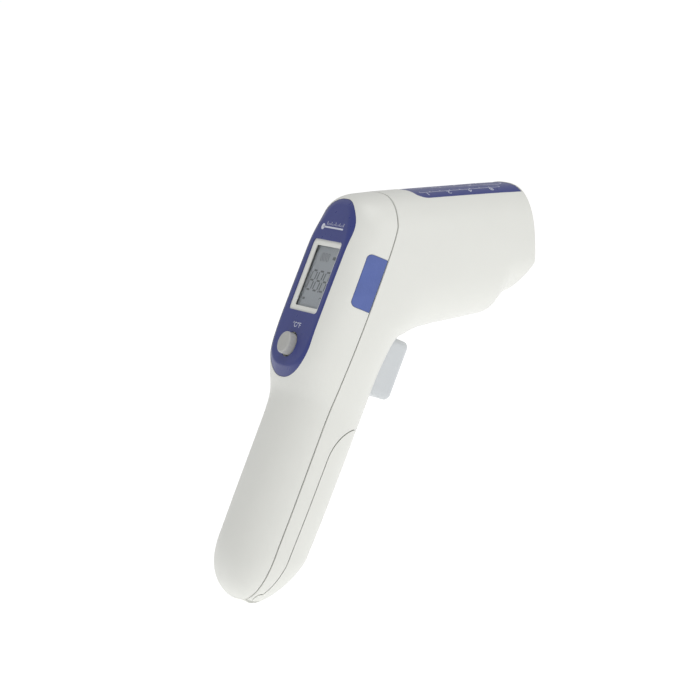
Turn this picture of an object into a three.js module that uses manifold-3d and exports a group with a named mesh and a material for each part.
// Pistol-shaped infrared thermometer, as an assembly of separate pieces, in millimetres, +Z up.
// The origin is the middle of the hand grip. +X is the measuring direction, out of the nose, and the
// part is built about the plane y = 0. The grip leans back, so pieces in the grip and in the display
// head are laid out in the grip's own axes: t forward, y sideways, s up along the grip.
import * as THREE from "three";
import { mergeVertices } from "three/addons/utils/BufferGeometryUtils.js";
import Module from "manifold-3d";

const wasm = await Module();
wasm.setup();

// ---------------------------------------------------------------- driving dimensions
const LEAN = THREE.MathUtils.degToRad(23.4); // of the grip from the vertical
const WALL = 2.0; // housing wall
const GAP = 0.3; // between pieces that face each other

const NOSE_X = 82.5; // front rim
const RIM_CUT = [68.4, 5.6, 58]; // the rim leans back below this z, by this much at this z
const NOSE_MASK_X = 72.5; // front of the black baffle inside the nose
const OPTIC_Z = 77.2; // axis of lens and sensor
const LASER_Z = 64.3; // axis of the laser

const FACE = -16.14; // t of the flat display face
const PARTING = { t: -3.4, s: 88, footT: -1.9, footS: -80 }; // two points of the line between the covers
const PARTING_TOP = [40.4, 130]; // [x, z] that this line heads for above its corner
const PARTING_CORNER_Z = 81; // height of that corner
const DOOR_SEAM = 2.7; // t of the plane where battery door and front cover meet
const TONGUE_TIP = 22.9; // s of the end of the door's locating tongue
const GRIP_END = -41.85; // s of the grip's lowest point
const CAP_S = -22; // s where the rounding of the grip's end begins
const CAP_T = 1.6; // t of the lowest point
const CAP_FRONT = 13.9; // t of the front and of the back where that rounding begins
const CAP_BACK = -12.4;

const SCREEN_S = 64.9; // middle of the display
const SCREEN_HOLE = [19, 24.4]; // width and height at the outside
const SCREEN_SIGHT = [15.4, 20.8]; // width and height at the bottom of the bevel
const SCREEN_BEVEL_T = -15.1; // t where the bevel ends and the lip over the window begins
const SCREEN_POCKET = [-14.8, 10.3, 12.7]; // t, half width and half height of the pocket behind the lip
const LABEL = { width: 25, low: 30.7, high: 91.8 };
const TOP_LABEL = { rear: 43.6, front: NOSE_X - 0.6, half: 11.4, corner: 3.5 };
const INLAY = { low: 58.9, high: 76.6, back: -10.3, corner: 1.7 };
const BUTTON_S = 41.3;
const BUTTON_R = 3.7;
const BUTTON_HOLE = 4.2;
const BUTTON_FACE = -18.6; // t of the button's top
const TRIGGER_S = 45.75;
const TRIGGER_W = 16;
const TRIGGER_H = 20.2;
const TRIGGER_FACE = 22.2; // t of the finger face
const HINGE = { t: 0.6, s: -38.7, r: 0.8, knuckle: 2.5, halfWidth: 5 }; // of the battery door
const LUG = { inner: 5.3, outer: 8, r: 2.1 }; // of the front cover, either side of the knuckle
const FOOT_HALF = 8.3; // half width of the slot in the foot for knuckle and lugs
const DOOR_FOOT = [[-0.3, -60], [-0.3, -39.6], [0, -38.4], [0.6, -36.6], [1.3, -34.2], [2.1, -30.2], [DOOR_SEAM, -26]];

const CELL = { r: 5.15, body: 43.6, nub: 0.9, nubR: 1.9, y: 5.6, t: 4.0, low: -27.4 };

// ---------------------------------------------------------------- colours
const plastic = (color, roughness = 0.5) =>
  new THREE.MeshStandardMaterial({ color, roughness, metalness: 0 });
const metal = (color, roughness = 0.3) =>
  new THREE.MeshStandardMaterial({ color, roughness, metalness: 1 });
const FINISH = {
  shell: plastic(0xe3e4df, 0.45),
  grey: plastic(0xa9aba8, 0.45),
  trigger: plastic(0xcbd0d2, 0.4),
  blueLabel: plastic(0x3a4487, 0.35),
  blueRough: plastic(0x5464b4, 0.7),
  black: plastic(0x17181a, 0.6),
  white: plastic(0xf1f1ee, 0.5),
  board: plastic(0x1c5b39, 0.45),
  glass: new THREE.MeshStandardMaterial({ color: 0x7f888a, roughness: 0.1, metalness: 0 }),
  clear: new THREE.MeshStandardMaterial({
    color: 0xf4f8fa, roughness: 0.05, metalness: 0, transparent: true, opacity: 0.3,
  }),
  rubber: plastic(0x2a2b2d, 0.85),
  steel: metal(0xc3c6c9),
  nickel: metal(0xb9b4a8, 0.35),
  brass: metal(0xb8934a, 0.35),
  aluminium: metal(0x9fa3a6, 0.4),
  cell: plastic(0x2e6fa3, 0.35),
  redWire: plastic(0xb3261e, 0.5),
  blackWire: plastic(0x1d1d1f, 0.5),
};

// ---------------------------------------------------------------- solids
// A geometry with its shared vertices merged, as a manifold solid.
function solid(geometry, matrix) {
  const g = geometry.clone();
  g.deleteAttribute("normal");
  g.deleteAttribute("uv");
  if (matrix) g.applyMatrix4(matrix);
  const m = mergeVertices(g, 1e-4);
  const source = m.index.array;
  const kept = [];
  for (let i = 0; i < source.length; i += 3) {
    const [a, b, c] = [source[i], source[i + 1], source[i + 2]];
    if (a !== b && b !== c && c !== a) kept.push(a, b, c);
  }
  return new wasm.Manifold(
    new wasm.Mesh({
      numProp: 3,
      vertProperties: m.attributes.position.array,
      triVerts: new Uint32Array(kept),
    }),
  );
}

function geometryOf(manifold) {
  const mesh = manifold.getMesh();
  const g = new THREE.BufferGeometry();
  g.setAttribute("position", new THREE.BufferAttribute(Float32Array.from(mesh.vertProperties), 3));
  g.setIndex(new THREE.BufferAttribute(Uint32Array.from(mesh.triVerts), 1));
  g.computeVertexNormals();
  return g;
}

const union = (...all) => all.reduce((a, b) => a.add(b));
const cut = (body, ...tools) => tools.reduce((a, b) => a.subtract(b), body);

// Axes of the grip: local x, y, z are t, y, s.
const GRIP = new THREE.Matrix4().makeRotationY(LEAN);
const gripPoint = (t, s) => [
  t * Math.cos(LEAN) + s * Math.sin(LEAN),
  -t * Math.sin(LEAN) + s * Math.cos(LEAN),
];
const inGrip = (manifold) => manifold.transform(GRIP.toArray());

// A box from its lowest and highest corners.
function box(low, high) {
  const [x, y, z] = high.map((h, i) => h - low[i]);
  const g = new THREE.BoxGeometry(x, y, z);
  g.translate(...high.map((h, i) => (h + low[i]) / 2));
  return solid(g);
}

// A solid of revolution: profile of [radius, distance along the axis], closed on the axis or on itself.
function turned(profile, axis, centre = [0, 0, 0], sides = 24) {
  const g = new THREE.LatheGeometry(profile.map(([r, a]) => new THREE.Vector2(r, a)), sides);
  if (axis === "x") g.rotateZ(-Math.PI / 2);
  if (axis === "z") g.rotateX(Math.PI / 2);
  g.translate(...centre);
  return solid(g);
}

// A cylinder or a tube from a to b along an axis.
function rod(r, a, b, axis, centre, sides = 20) {
  return turned([[0, a], [r, a], [r, b], [0, b]], axis, centre, sides);
}
function tube(inner, outer, a, b, axis, centre, sides = 24) {
  return turned([[inner, a], [outer, a], [outer, b], [inner, b], [inner, a]], axis, centre, sides);
}

// A side-view outline of [x, z] points, extruded across from y = low to y = high.
function acrossY(points, low, high) {
  const shape = new THREE.Shape(points.map(([x, z]) => new THREE.Vector2(x, z)));
  const g = new THREE.ExtrudeGeometry(shape, { depth: high - low, bevelEnabled: false });
  g.rotateX(Math.PI / 2);
  g.translate(0, high, 0);
  return solid(g);
}

// An outline of [y, s] points, extruded forward from t = low to t = high, in the grip's axes.
function alongT(points, low, high) {
  const shape = new THREE.Shape(points.map(([y, s]) => new THREE.Vector2(y, s)));
  const g = new THREE.ExtrudeGeometry(shape, { depth: high - low, bevelEnabled: false });
  g.applyMatrix4(new THREE.Matrix4().set(0, 0, 1, low, 1, 0, 0, 0, 0, 1, 0, 0, 0, 0, 0, 1));
  return solid(g);
}

// Points of a rectangle with rounded corners, about a centre.
function roundedRectangle(width, height, r, cx = 0, cy = 0, steps = 3) {
  const points = [];
  for (let corner = 0; corner < 4; corner += 1) {
    const sx = corner === 0 || corner === 3 ? 1 : -1;
    const sy = corner < 2 ? 1 : -1;
    for (let i = 0; i <= steps; i += 1) {
      const a = ((corner + i / steps) * Math.PI) / 2;
      points.push([
        cx + sx * (width / 2 - r) + r * Math.cos(a),
        cy + sy * (height / 2 - r) + r * Math.sin(a),
      ]);
    }
  }
  return points;
}

// A round wire of radius r along a list of points, with `steps` pieces.
function wire(points, r, steps, sides = 6) {
  const curve = new THREE.CatmullRomCurve3(points.map((p) => new THREE.Vector3(...p)));
  const section = new THREE.Shape();
  for (let i = 0; i < sides; i += 1) {
    const a = (2 * Math.PI * i) / sides;
    section[i ? "lineTo" : "moveTo"](r * Math.cos(a), r * Math.sin(a));
  }
  section.closePath();
  return solid(new THREE.ExtrudeGeometry(section, { steps, extrudePath: curve, bevelEnabled: false }));
}

// A coil spring along the local z axis, from a to b.
class Helix extends THREE.Curve {
  constructor(radius, a, b, turns) {
    super();
    Object.assign(this, { radius, a, b, turns });
  }
  getPoint(u, target = new THREE.Vector3()) {
    const angle = 2 * Math.PI * this.turns * u;
    return target.set(
      this.radius * Math.cos(angle),
      this.radius * Math.sin(angle),
      this.a + (this.b - this.a) * u,
    );
  }
}
function coil(radius, wireR, a, b, turns, perTurn = 9) {
  const section = new THREE.Shape();
  for (let i = 0; i < 5; i += 1) {
    const angle = (2 * Math.PI * i) / 5;
    section[i ? "lineTo" : "moveTo"](wireR * Math.cos(angle), wireR * Math.sin(angle));
  }
  section.closePath();
  return solid(
    new THREE.ExtrudeGeometry(section, {
      steps: Math.round(turns * perTurn),
      extrudePath: new Helix(radius, a, b, turns),
      bevelEnabled: false,
    }),
  );
}

// ---------------------------------------------------------------- outer form
// Stations along the body, from the grip's end to the nose. Each has the front or underside point, the
// back or top point (both [x, z]), the half width, where between them the body is widest, and the
// roundness of the back and of the front half of the section.
const station = (front, back, half, widest, nb, nf) => [...front, ...back, half, widest, nb, nf];
const gripStation = (s, tFront, tBack, half, nb = 2.3) =>
  station(gripPoint(tFront, s), gripPoint(tBack, s), half, 0.5, nb, 2.4);
const STATIONS = [
  gripStation(CAP_S, CAP_FRONT, CAP_BACK, 16.4),
  gripStation(-8, 14.2, -12.4, 16.9),
  gripStation(8, 14.3, -12.4, 17.1),
  gripStation(20, 14.3, -12.5, 17.2),
  gripStation(26, 14.3, -13.1, 17.4, 2.4),
  gripStation(31, 14.3, -14.9, 17.8, 2.6),
  gripStation(38, 14.3, -17.1, 18.4, 2.9),
  gripStation(46, 14.5, -17.3, 19.0, 3.2),
  station([35.6, 43.9], gripPoint(-17.3, 56), 19.4, 0.5, 3.2, 2.6),
  station([39.1, 45.8], gripPoint(-17.3, 68), 19.5, 0.5, 3.2, 2.8),
  station([42, 46.8], gripPoint(-17.2, 78), 19.5, 0.5, 3.2, 2.8),
  station([44.6, 47.5], gripPoint(-16.6, 85), 19.5, 0.5, 3.0, 2.8),
  station([47.5, 47.9], [21.0, 88.9], 19.5, 0.5, 2.8, 2.8),
  station([50.4, 48.4], [24.9, 91.2], 19.5, 0.5, 2.7, 2.8),
  station([53.6, 48.8], [31.5, 91.9], 19.5, 0.5, 2.7, 2.8),
  station([58.5, 49.4], [44, 92.4], 19.5, 0.52, 2.7, 2.8),
  station([64, 50.1], [57, 92.8], 19.5, 0.5, 2.7, 2.7),
  station([69.5, 50.9], [68.5, 93.1], 19.5, 0.48, 2.7, 2.5),
  station([72.4, 53.4], [72.2, 93.2], 19.5, 0.44, 2.7, 2.2),
  station([75, 56], [75.4, 93.25], 19.5, 0.4, 2.7, 2.0),
  station([78.6, 56.6], [78.6, 93.3], 19.5, 0.38, 2.7, 1.9),
  station([NOSE_X + 0.6, 57], [NOSE_X + 0.6, 93.4], 19.4, 0.37, 2.7, 1.85),
];

// The section at u, counted in stations, as a smooth curve through the four stations round it.
function stationAt(u) {
  const i = Math.min(Math.floor(u), STATIONS.length - 2);
  const f = u - i;
  const [a, b, c, d] = [i - 1, i, i + 1, i + 2].map(
    (k) => STATIONS[Math.min(Math.max(k, 0), STATIONS.length - 1)],
  );
  return b.map((v, k) => {
    const [m, n] = [(c[k] - a[k]) / 2, (d[k] - v) / 2];
    const e = c[k] - v;
    return v + f * (m + f * (3 * e - 2 * m - n + f * (m + n - 2 * e)));
  });
}

// The section of the rounded end, w running from 0 at the first station to 1 at the lowest point.
function capSection(w, inset) {
  const [, , , , half, widest, nb, nf] = STATIONS[0];
  const u = Math.sin((w * Math.PI) / 2);
  const shrink = (n) => (1 - u ** n) ** (1 / n);
  const s = CAP_S - (CAP_S - GRIP_END - inset) * u;
  const front = gripPoint(CAP_T + (CAP_FRONT - inset - CAP_T) * shrink(1.3), s);
  const back = gripPoint(CAP_T + (CAP_BACK + inset - CAP_T) * shrink(2.3), s);
  return station(front, back, (half - inset) * shrink(2.4), widest, nb, nf);
}

function insetSection(section, inset) {
  const [fx, fz, bx, bz, half, ...rest] = section;
  const k = inset / Math.hypot(bx - fx, bz - fz);
  const [dx, dz] = [(bx - fx) * k, (bz - fz) * k];
  return [fx + dx, fz + dz, bx - dx, bz - dz, half - inset, ...rest];
}

function sectionPoint([fx, fz, bx, bz, half, widest, nb, nf], angle) {
  const [c, d] = [Math.cos(angle), Math.sin(angle)];
  const n = c >= 0 ? nb : nf;
  const r = (Math.abs(c) ** n + Math.abs(d) ** n) ** (-1 / n);
  const a = widest + (c >= 0 ? 1 - widest : widest) * r * c;
  return [fx + (bx - fx) * a, half * r * d, fz + (bz - fz) * a];
}

// The whole body as one solid, its surface moved in by `inset`.
function body(inset = 0, columns = 24, capRows = 5, rows = 32) {
  const sections = [];
  for (let i = capRows - 1; i >= 1; i -= 1) sections.push(capSection(i / capRows, inset));
  for (let i = 0; i <= rows; i += 1) {
    sections.push(insetSection(stationAt((i / rows) * (STATIONS.length - 1)), inset));
  }
  const [tipX, tipZ] = gripPoint(CAP_T, GRIP_END + inset);
  const last = sections[sections.length - 1];
  const points = [tipX, 0, tipZ];
  for (const section of sections) {
    for (let j = 0; j < columns; j += 1) {
      points.push(...sectionPoint(section, (2 * Math.PI * j) / columns));
    }
  }
  points.push((last[0] + last[2]) / 2, 0, (last[1] + last[3]) / 2);
  const end = points.length / 3 - 1;
  const at = (i, j) => 1 + i * columns + (j % columns);
  const faces = [];
  for (let j = 0; j < columns; j += 1) {
    faces.push(0, at(0, j), at(0, j + 1));
    for (let i = 0; i < sections.length - 1; i += 1) {
      faces.push(at(i, j), at(i + 1, j), at(i, j + 1));
      faces.push(at(i + 1, j), at(i + 1, j + 1), at(i, j + 1));
    }
    faces.push(end, at(sections.length - 1, j + 1), at(sections.length - 1, j));
  }
  const g = new THREE.BufferGeometry();
  g.setAttribute("position", new THREE.BufferAttribute(new Float32Array(points), 3));
  g.setIndex(faces);
  return solid(g).intersect(inGrip(box([FACE + inset, -40, -60], [110, 40, 140])));
}

// ---------------------------------------------------------------- covers
const gripBox = (low, high) => inGrip(box(low, high)); // corners as [t, y, s]
const gripRod = (r, a, b, axis, centre, sides) => inGrip(rod(r, a, b, axis, centre, sides));
const gripTube = (...args) => inGrip(tube(...args));

// t of the parting line at a height s on the grip
const partingAt = (s) => {
  const slope = (PARTING.t - PARTING.footT) / (PARTING.s - PARTING.footS);
  return PARTING.footT + slope * (s - PARTING.footS);
};

// Everything behind the parting line: a plane up the grip to the corner, then one across the head.
function behindParting(offset) {
  const corner = gripPoint(partingAt(PARTING.s), PARTING.s);
  const foot = gripPoint(partingAt(PARTING.footS), PARTING.footS);
  const outline = [foot, corner, PARTING_TOP].map(([x, z]) => [x + offset, z]);
  return acrossY([...outline, [-120, PARTING_TOP[1]], [-120, foot[1]]], -40, 40);
}

// The battery door's region: in front of its seam, below the arch, down to the foot and round the pin.
function doorRegion(grow) {
  const arch = [];
  for (let i = 0; i <= 8; i += 1) {
    const a = (i / 8) * (Math.PI / 2);
    arch.push([DOOR_SEAM + 9 * (1 - Math.cos(a)) - grow, 10.5 + 12.4 * Math.sin(a) + grow]);
  }
  const foot = DOOR_FOOT.map(([t, s]) => [t - grow, s]);
  const outline = [...foot, ...arch, [60, 22.9 + grow], [60, DOOR_FOOT[0][1]]];
  const region = inGrip(acrossY(outline, -40, 40));
  return region.add(gripRod(1.5 + grow, -30, 30, "y", [HINGE.t, 0, HINGE.s]));
}

// The front rim leans back below the widest part of the nose.
function rimCut() {
  const [z, back, at] = RIM_CUT;
  const slope = back / (z - at);
  const low = z - 30;
  return acrossY(
    [[NOSE_X, 120], [NOSE_X, z], [NOSE_X - slope * (z - low), low], [140, low], [140, 120]], -40, 40,
  );
}

const labelOutline = (grow) => {
  const height = LABEL.high - LABEL.low + 2 * grow;
  const width = LABEL.width + 2 * grow;
  const middle = (LABEL.high + LABEL.low) / 2;
  return roundedRectangle(width, height, width / 2 - 0.4, 0, middle, 6);
};

const screenWell = (grow, depth) => {
  // A bevel from the face, then straight down to t = depth.
  const [w0, h0] = SCREEN_HOLE.map((v) => v / 2 + grow);
  const [w1, h1] = SCREEN_SIGHT.map((v) => v / 2 + grow);
  const corners = (t, w, h) => [[-w, -h], [w, -h], [w, h], [-w, h]].flatMap(([y, s]) => [t, y, SCREEN_S + s]);
  const g = new THREE.BufferGeometry();
  const points = [
    ...corners(FACE - 2, w0, h0), ...corners(FACE, w0, h0), ...corners(SCREEN_BEVEL_T, w1, h1),
    ...corners(depth, w1, h1),
  ];
  g.setAttribute("position", new THREE.BufferAttribute(new Float32Array(points), 3));
  const faces = [0, 2, 1, 0, 3, 2, 12, 13, 14, 12, 14, 15];
  for (let ring = 0; ring < 3; ring += 1) {
    for (let i = 0; i < 4; i += 1) {
      const [a, b] = [ring * 4 + i, ring * 4 + ((i + 1) % 4)];
      faces.push(a, b, b + 4, a, b + 4, a + 4);
    }
  }
  g.setIndex(faces);
  return inGrip(solid(g));
};

const inlayPrism = (side, grow, front) => {
  // A block across the side wall, its rear corners rounded, its front edge along the parting line.
  const r = INLAY.corner + grow;
  const t0 = INLAY.back - grow;
  const [s0, s1] = [INLAY.low - grow, INLAY.high + grow];
  const outline = [s0, s1].map((s) => [partingAt(s) + front, s]);
  for (let i = 0; i <= 4; i += 1) {
    const a = (i / 4) * (Math.PI / 2);
    outline.push([t0 + r - r * Math.sin(a), s1 - r + r * Math.cos(a)]);
  }
  for (let i = 0; i <= 4; i += 1) {
    const a = (i / 4) * (Math.PI / 2);
    outline.push([t0 + r - r * Math.cos(a), s0 + r - r * Math.sin(a)]);
  }
  return inGrip(acrossY(outline, side > 0 ? 8 : -30, side > 0 ? 30 : -8));
};

const OUTER = body(0);
const CAVITY = body(WALL, 20, 4, 22);
const POCKET = body(0.55); // floor of the shallow recesses that take the labels and inlays

const BOARD = { t0: -8.6, t1: -7.0 };
const BOARD_SCREWS = [[-10.4, 34.6], [10.4, 34.6], [-12, 84], [12, 84]]; // [y, s]
const HOUSING_SCREWS = [ // height, and t of the tip and of the seat under the head
  { s: 21.3, tip: -9.9, seat: 0.9 },
  { s: -32.2, tip: -8.4, seat: -0.3 },
];

const barrelLabelPrism = (grow) => {
  // Seen from above: square at the rim, rounded at the rear.
  const [x0, x1] = [TOP_LABEL.rear - grow, TOP_LABEL.front + grow];
  const [half, r] = [TOP_LABEL.half + grow, TOP_LABEL.corner + grow];
  const outline = [[x1, -half], [x1, half]];
  for (let i = 0; i <= 5; i += 1) {
    const a = (i / 5) * (Math.PI / 2);
    outline.push([x0 + r - r * Math.sin(a), half - r + r * Math.cos(a)]);
  }
  for (let i = 0; i <= 5; i += 1) {
    const a = (i / 5) * (Math.PI / 2);
    outline.push([x0 + r - r * Math.cos(a), r - half - r * Math.sin(a)]);
  }
  const shape = new THREE.Shape(outline.map(([x, y]) => new THREE.Vector2(x, y)));
  const g = new THREE.ExtrudeGeometry(shape, { depth: 40, bevelEnabled: false });
  g.translate(0, 0, 82);
  return solid(g);
};

function rearCover() {
  const rear = behindParting(-GAP / 2);
  let cover = cut(OUTER, CAVITY).intersect(rear);
  const inside = body(0.8, 20, 4, 22).intersect(rear);
  // the display's bevelled opening with a pocket behind its lip, and the button's hole
  const [pocketT, pocketY, pocketS] = SCREEN_POCKET;
  const recess = gripBox([pocketT, -pocketY, SCREEN_S - pocketS], [-12, pocketY, SCREEN_S + pocketS]);
  cover = cut(cover, screenWell(0, -13), recess);
  cover = cut(cover, gripRod(BUTTON_HOLE, -20, -10, "x", [0, 0, BUTTON_S]));
  // posts that carry the main board
  for (const [y, s] of BOARD_SCREWS) {
    cover = cover.add(gripRod(2.3, -15.2, BOARD.t0 - 0.3, "x", [0, y, s], 14).intersect(inside));
    cover = cut(cover, gripRod(0.9, -13, 0, "x", [0, y, s], 10));
  }
  // posts for the housing screws
  for (const { s, tip } of HOUSING_SCREWS) {
    cover = cover.add(gripRod(3, -13.6, partingAt(s) - 0.8, "x", [0, 0, s], 14).intersect(inside));
    cover = cut(cover, gripRod(1.15, tip - 0.5, 0, "x", [0, 0, s], 10));
  }
  // shallow recesses for the display label and the side inlays
  const pocket = cut(inGrip(alongT(labelOutline(0.15), -30, -5)), POCKET);
  cover = cut(cover, pocket);
  for (const side of [-1, 1]) cover = cut(cover, cut(inlayPrism(side, 0.15, 1), POCKET));
  return cover;
}

function frontCover() {
  const front = cut(OUTER, behindParting(GAP / 2));
  const inside = cut(body(0.8, 20, 4, 22), behindParting(GAP / 2));
  const slot = gripBox([-10, -FOOT_HALF, -60], [20, FOOT_HALF, -36]);
  let cover = cut(front, CAVITY, doorRegion(GAP), slot);
  // the webs the housing screws pull on, and the lugs of the door's hinge
  const webs = [
    gripBox([-4, -17, 19.2], [0.8, 17, 26]),
    gripBox([-4, -17, -35.5], [-0.4, 17, -29.6]),
  ];
  for (const web of webs) cover = cover.add(web.intersect(inside));
  for (const side of [-1, 1]) {
    const [a, b] = side > 0 ? [LUG.inner, LUG.outer] : [-LUG.outer, -LUG.inner];
    const lug = union(
      gripRod(LUG.r, a, b, "y", [HINGE.t, 0, HINGE.s], 16),
      gripBox([-4, a, HINGE.s - 0.6], [HINGE.t + 0.9, b, -35]),
    );
    cover = cover.add(lug.intersect(inside));
  }
  cover = cut(cover, gripRod(HINGE.r + 0.15, -FOOT_HALF, FOOT_HALF, "y", [HINGE.t, 0, HINGE.s], 12));
  for (const { s } of HOUSING_SCREWS) {
    cover = cut(cover, gripRod(1.5, -5, 3, "x", [0, 0, s], 12));
  }
  // the wall behind the trigger, which the spring stands on
  const wall = gripBox([1.2, -19, 36.4], [2.8, 19, 54.2]).intersect(inside);
  cover = cover.add(wall);
  cover = cut(cover, gripRod(2.1, 0, 5, "x", [0, 0, TRIGGER_S], 14));
  // mouth of the trigger
  const mouth = alongT(roundedRectangle(TRIGGER_W + 0.6, TRIGGER_H + 0.6, 2.2, 0, TRIGGER_S, 3), 6, 26);
  const rails = gripBox([2.8, -9.8, TRIGGER_S - 11.6], [11.9, 9.8, TRIGGER_S + 11.6]);
  cover = cut(cover, inGrip(mouth), rails.intersect(body(0.9, 20, 4, 22)));
  // the leaning rim, and the recess for the top label
  cover = cut(cover, rimCut());
  cover = cut(cover, cut(barrelLabelPrism(0.15), POCKET));
  return cover;
}

function batteryDoor() {
  const front = cut(OUTER, behindParting(GAP / 2));
  const slot = gripBox([-10, -FOOT_HALF, -60], [3, FOOT_HALF, -36]);
  let door = cut(cut(front, CAVITY).intersect(doorRegion(0)), slot);
  // the knuckle between the lugs, and the arm that joins it to the door's foot
  const { t, s, r, knuckle, halfWidth } = HINGE;
  const hub = union(
    gripRod(knuckle, -halfWidth, halfWidth, "y", [t, 0, s], 24),
    gripBox([t, -halfWidth, s - 1.9], [7, halfWidth, s + 1.2]),
  );
  door = door.add(hub.intersect(OUTER));
  // thumb notch under the arch and a locating tongue behind it, which ends below the cover's edge so that
  // the door swings out freely about its pin
  door = cut(door, gripRod(7, 12.9, 20, "x", [0, 0, 27.6], 20));
  const tongue = gripBox([10.4, -4, 15.5], [11.7, 4, TONGUE_TIP]).add(gripBox([11.6, -4, 15.5], [13, 4, 19.5]));
  door = door.add(tongue);
  return cut(door, gripRod(r + 0.15, -FOOT_HALF, FOOT_HALF, "y", [t, 0, s], 12));
}

// ---------------------------------------------------------------- display and button
function displayLabel() {
  const sheet = cut(body(0.12), body(0.47)).intersect(inGrip(alongT(labelOutline(0), -30, -5)));
  const window = gripBox(
    [-20, -SCREEN_HOLE[0] / 2 - 0.1, SCREEN_S - SCREEN_HOLE[1] / 2 - 0.1],
    [-10, SCREEN_HOLE[0] / 2 + 0.1, SCREEN_S + SCREEN_HOLE[1] / 2 + 0.1],
  );
  return cut(sheet, window, gripRod(BUTTON_HOLE + 0.1, -20, -10, "x", [0, 0, BUTTON_S], 24));
}

function lcdFrame() {
  const outer = gripBox([-13.4, -11.4, SCREEN_S - 14.4], [-8.9, 11.4, SCREEN_S + 14.4]);
  const inner = gripBox([-14, -10.5, SCREEN_S - 13.5], [-8, 10.5, SCREEN_S + 13.5]);
  return cut(outer, inner);
}

function unitButton() {
  const dome = turned(
    [
      [0, BUTTON_FACE], [BUTTON_R - 1, BUTTON_FACE + 0.05], [BUTTON_R - 0.3, BUTTON_FACE + 0.4],
      [BUTTON_R, BUTTON_FACE + 1], [BUTTON_R, -13.6], [BUTTON_R + 1.3, -13.6],
      [BUTTON_R + 1.3, -12.8], [1.3, -12.8], [1.3, -11.2], [0, -11.2],
    ],
    "x", [0, 0, BUTTON_S], 28,
  );
  return inGrip(dome);
}

const tactSwitch = (base, s, depth, plunger, facing) => {
  // A square switch body on the board with a round plunger that faces away from it.
  const [a, b] = facing < 0 ? [base - depth, base] : [base, base + depth];
  const tip = facing < 0 ? [a - plunger, a + 0.3] : [b - 0.3, b + plunger];
  return union(gripBox([a, -3, s - 3], [b, 3, s + 3]), gripRod(1.6, ...tip, "x", [0, 0, s], 14));
};

// ---------------------------------------------------------------- trigger
function trigger() {
  const shape = new THREE.Shape(
    roundedRectangle(TRIGGER_W - 0.8, TRIGGER_H - 0.8, 1.6, 0, 0, 3).map(([y, s]) => new THREE.Vector2(y, s)),
  );
  const g = new THREE.ExtrudeGeometry(shape, {
    depth: TRIGGER_FACE - 11.3 - 0.8, bevelSize: 0.4, bevelThickness: 0.8, bevelSegments: 3,
  });
  g.applyMatrix4(new THREE.Matrix4().set(0, 0, 1, 11.3, 1, 0, 0, 0, 0, 1, 0, TRIGGER_S, 0, 0, 0, 1));
  const flange = box([9.4, -9.2, TRIGGER_S - 11], [11.5, 9.2, TRIGGER_S + 11]);
  const post = rod(1.7, 0.9, 10, "x", [0, 0, TRIGGER_S], 14);
  return inGrip(union(solid(g), flange, post));
}

// ---------------------------------------------------------------- power
const cellProfile = ({ r, body: length, nub, nubR }) => [
  [0, 0], [r - 0.5, 0], [r, 0.5], [r, length - 0.5], [r - 0.5, length], [nubR, length],
  [nubR, length + nub], [0, length + nub],
];
function cell(side) {
  // Left cell: positive end up. Right cell: positive end down.
  const profile = cellProfile(CELL).map(([r, a]) => [r, side > 0 ? a : CELL.body + CELL.nub - a]);
  if (side < 0) profile.reverse();
  return inGrip(turned(profile, "z", [CELL.t, side * CELL.y, CELL.low], 20));
}
const CELL_TOP = CELL.low + CELL.body + CELL.nub;

function batteryTray() {
  const outer = box([-2.9, -12.6, CELL.low - 1.9], [2.6, 12.6, CELL_TOP + 1.9]);
  const bay = box([-1.5, -11.4, CELL.low - 1.1], [6, 11.4, CELL_TOP + 1.1]);
  const ridge = box([-1.6, -0.25, CELL.low + 6], [0.6, 0.25, CELL_TOP - 6]);
  return inGrip(cut(outer, bay).add(ridge));
}

function bridgeContact() {
  const low = CELL.low;
  const plate = box([-0.9, -8.4, low - 0.95], [6.2, 8.4, low - 0.6]);
  const spring = coil(2.6, 0.3, low - 0.7, low - 0.25, 1.6, 10).translate([CELL.t, CELL.y, 0]);
  const dimple = rod(1.6, low - 0.7, low - 0.2, "z", [CELL.t, -CELL.y, 0], 12);
  return inGrip(union(plate, spring, dimple));
}
function topContact(side, positive) {
  const high = CELL_TOP;
  const [a, b] = side > 0 ? [2.4, 8.4] : [-8.4, -2.4];
  const plate = box([-0.9, a, high + 0.6], [6.2, b, high + 0.95]);
  const centre = [CELL.t, side * CELL.y, 0];
  const touch = positive
    ? rod(1.6, high + 0.2, high + 0.7, "z", centre, 12)
    : coil(2.6, 0.3, high + 0.25, high + 0.7, 1.6, 10).translate([CELL.t, side * CELL.y, 0]);
  return inGrip(union(plate, touch));
}

// ---------------------------------------------------------------- optics
function noseBaffle() {
  // A black dish that closes the nose, with the openings for the lens and the laser.
  const dish = cut(body(WALL + 0.6), box([-60, -40, -60], [NOSE_MASK_X - 1.6, 40, 140]));
  const open = box([NOSE_MASK_X, -40, 0], [140, 40, 140]);
  return cut(
    dish, open, rod(7.6, 60, 90, "x", [0, 0, OPTIC_Z], 32), rod(1.8, 60, 90, "x", [0, 0, LASER_Z], 16),
  );
}

const opticTube = (inner, outer, a, b, sides = 28) => tube(inner, outer, a, b, "x", [0, 0, OPTIC_Z], sides);

function infraredLens() {
  const profile = [[0, 69.2], [7.4, 69.2], [7.4, 70.2]];
  for (let i = 1; i <= 6; i += 1) {
    const r = 7.4 * (1 - i / 6);
    profile.push([r, 70.2 + 1.4 * (1 - (r / 7.4) ** 2)]);
  }
  return turned(profile, "x", [0, 0, OPTIC_Z], 28);
}

// ---------------------------------------------------------------- assembly
const group = new THREE.Group();
group.name = "infrared_thermometer";
function piece(name, manifold, material) {
  const mesh = new THREE.Mesh(geometryOf(manifold), material.clone());
  mesh.name = name;
  group.add(mesh);
}

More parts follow.
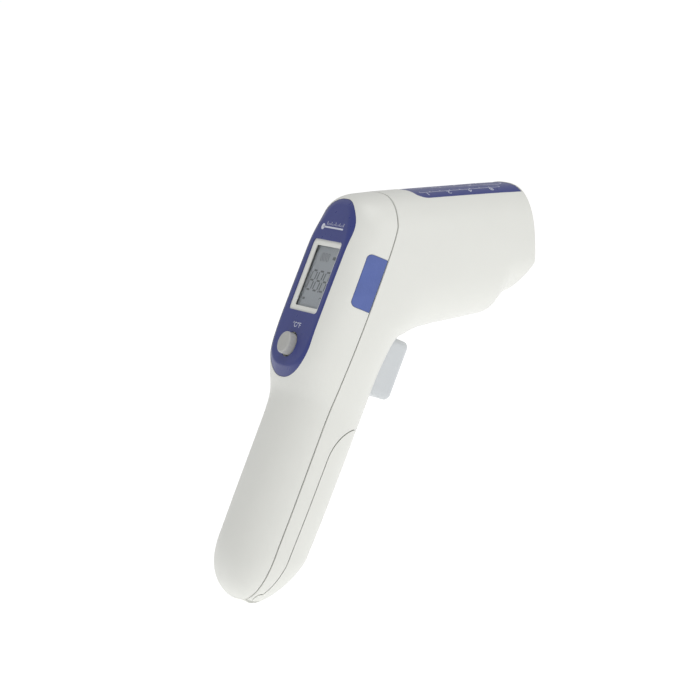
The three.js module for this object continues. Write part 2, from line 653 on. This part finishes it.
piece("rear_cover", rearCover(), FINISH.shell);
piece("front_cover", frontCover(), FINISH.shell);
piece("battery_door", batteryDoor(), FINISH.shell);
piece("door_hinge_pin", gripRod(HINGE.r, -7.7, 7.7, "y", [HINGE.t, 0, HINGE.s], 14), FINISH.steel);

piece("display_label", displayLabel(), FINISH.blueLabel);
const top = cut(body(0.12), body(0.47)).intersect(barrelLabelPrism(0));
piece("barrel_label", top, FINISH.blueLabel);
for (const [side, name] of [[1, "left"], [-1, "right"]]) {
  const patch = cut(body(-0.05), body(0.45)).intersect(inlayPrism(side, 0, -0.35));
  piece(`side_inlay_${name}`, patch, FINISH.blueRough);
}

const screenBox = (t0, t1, halfY, halfS) =>
  gripBox([t0, -halfY, SCREEN_S - halfS], [t1, halfY, SCREEN_S + halfS]);
piece("display_window", screenBox(-14.6, -14.1, 10, 12.4), FINISH.clear);
piece("lcd_panel", screenBox(-13.85, -12.35, 10.2, 13.2), FINISH.glass);
piece("lcd_frame", lcdFrame(), FINISH.white);
piece("backlight_panel", screenBox(-12.1, -11.2, 9.6, 9.8), FINISH.white);
for (const [side, name] of [[1, "upper"], [-1, "lower"]]) {
  const s = SCREEN_S + side * 11.9;
  piece(`lcd_connector_${name}`, gripBox([-12.1, -9.8, s - 1.2], [-8.9, 9.8, s + 1.2]), FINISH.rubber);
}

piece("unit_button", unitButton(), FINISH.grey);
piece("unit_switch", tactSwitch(BOARD.t0 - 0.1, BUTTON_S, 1.0, 0.3, -1), FINISH.black);

function mainBoard() {
  const wide = box([BOARD.t0, -13.6, 47], [BOARD.t1, 13.6, 86.6]);
  const narrow = box([BOARD.t0, -12.4, 31.6], [BOARD.t1, 12.4, 48]);
  let board = union(wide, narrow);
  for (const [y, s] of BOARD_SCREWS) board = cut(board, rod(1.1, -10, -5, "x", [0, y, s], 12));
  return inGrip(board);
}
piece("main_board", mainBoard(), FINISH.board);
piece("control_chip", gripBox([-6.9, -5, 62], [-5.3, 5, 72]), FINISH.black);
BOARD_SCREWS.forEach(([y, s], i) => {
  const head = turned(
    [[0, -12.2], [0.8, -12.2], [0.8, -6.9], [1.9, -6.9], [1.7, -5.9], [0, -5.7]], "x", [0, y, s], 14,
  );
  piece(`board_screw_${i + 1}`, inGrip(head), FINISH.steel);
});
HOUSING_SCREWS.forEach(({ s, tip, seat }, i) => {
  const screw = turned(
    [[0, tip], [1.05, tip], [1.05, seat], [2.1, seat], [1.9, seat + 1.2], [0, seat + 1.4]],
    "x", [0, 0, s], 16,
  );
  piece(i === 0 ? "housing_screw_upper" : "housing_screw_lower", inGrip(screw), FINISH.steel);
});

piece("trigger", trigger(), FINISH.trigger);
piece("trigger_spring",
  inGrip(coil(2.9, 0.32, 0, 5.7, 4.5, 9).transform(
    new THREE.Matrix4().set(0, 0, 1, 3.25, 1, 0, 0, 0, 0, 1, 0, TRIGGER_S, 0, 0, 0, 1).toArray(),
  )),
  FINISH.steel);
piece("trigger_switch", tactSwitch(BOARD.t1 + 0.1, TRIGGER_S, 4.0, 0.7, 1), FINISH.black);

piece("battery_cell_left", cell(1), FINISH.cell);
piece("battery_cell_right", cell(-1), FINISH.cell);
piece("battery_tray", batteryTray(), FINISH.black);
piece("battery_bridge_contact", bridgeContact(), FINISH.nickel);
piece("battery_positive_contact", topContact(1, true), FINISH.nickel);
piece("battery_negative_contact", topContact(-1, false), FINISH.nickel);

const at = (t, y, s) => {
  const [x, z] = gripPoint(t, s);
  return [x, y, z];
};
const batteryWire = (y) => [
  at(-4.6, y, CELL_TOP - 2), at(-5.0, y, 24), at(-5.4, y * 0.95, 30), at(-6.2, y * 0.9, 33.5), at(-6.2, y * 0.9, 38),
];
piece("battery_wire_red", wire(batteryWire(6.6), 0.55, 14), FINISH.redWire);
piece("battery_wire_black", wire(batteryWire(-6.6), 0.55, 14), FINISH.blackWire);

piece("nose_baffle", noseBaffle(), FINISH.black);
piece("lens_retainer", opticTube(5.9, 7.3, 72.1, 74.6), FINISH.aluminium);
piece("infrared_lens", infraredLens(), new THREE.MeshStandardMaterial({
  color: 0x2c2530, roughness: 0.12, metalness: 0.3,
}));
piece("lens_seal", opticTube(5.6, 7.4, 68.0, 68.9, 24), FINISH.rubber);
piece("lens_tube", opticTube(7.7, 9.6, 50, 70.6), FINISH.black);
piece("sensor_can", turned(
  [[0, 45.4], [4.6, 45.4], [4.6, 46.0], [4.1, 46.2], [4.1, 49.4], [3.7, 49.8], [0, 49.8]],
  "x", [0, 0, OPTIC_Z], 22,
), FINISH.nickel);
piece("sensor_block", opticTube(4.9, 8.4, 44.6, 49.6, 24), FINISH.aluminium);
piece("sensor_board", box([42.6, -9.5, OPTIC_Z - 9], [44.2, 9.5, OPTIC_Z + 9]), FINISH.board);
piece("sensor_cable", wire(
  [at(-6.2, 3, 78.5), at(-4, 3, 79.5), [36, 3, 79], [41, 3, 78.6]], 0.9, 12,
), FINISH.blackWire);

piece("laser_module", rod(3, 50, 68.4, "x", [0, 0, LASER_Z], 20), FINISH.brass);
piece("laser_holder", cut(
  box([54, -5.6, LASER_Z - 4.6], [62, 5.6, LASER_Z + 2.2]), rod(3.3, 50, 70, "x", [0, 0, LASER_Z], 20),
), FINISH.black);
const laserWire = (y) => [at(-6.2, y, 58), at(-3, y, 58), [34, y, 62], [43, y * 0.5, LASER_Z - 0.6], [49.2, y * 0.25, LASER_Z]];
piece("laser_wire_red", wire(laserWire(4.6), 0.45, 14), FINISH.redWire);
piece("laser_wire_black", wire(laserWire(-4.6), 0.45, 14), FINISH.blackWire);

export default group;
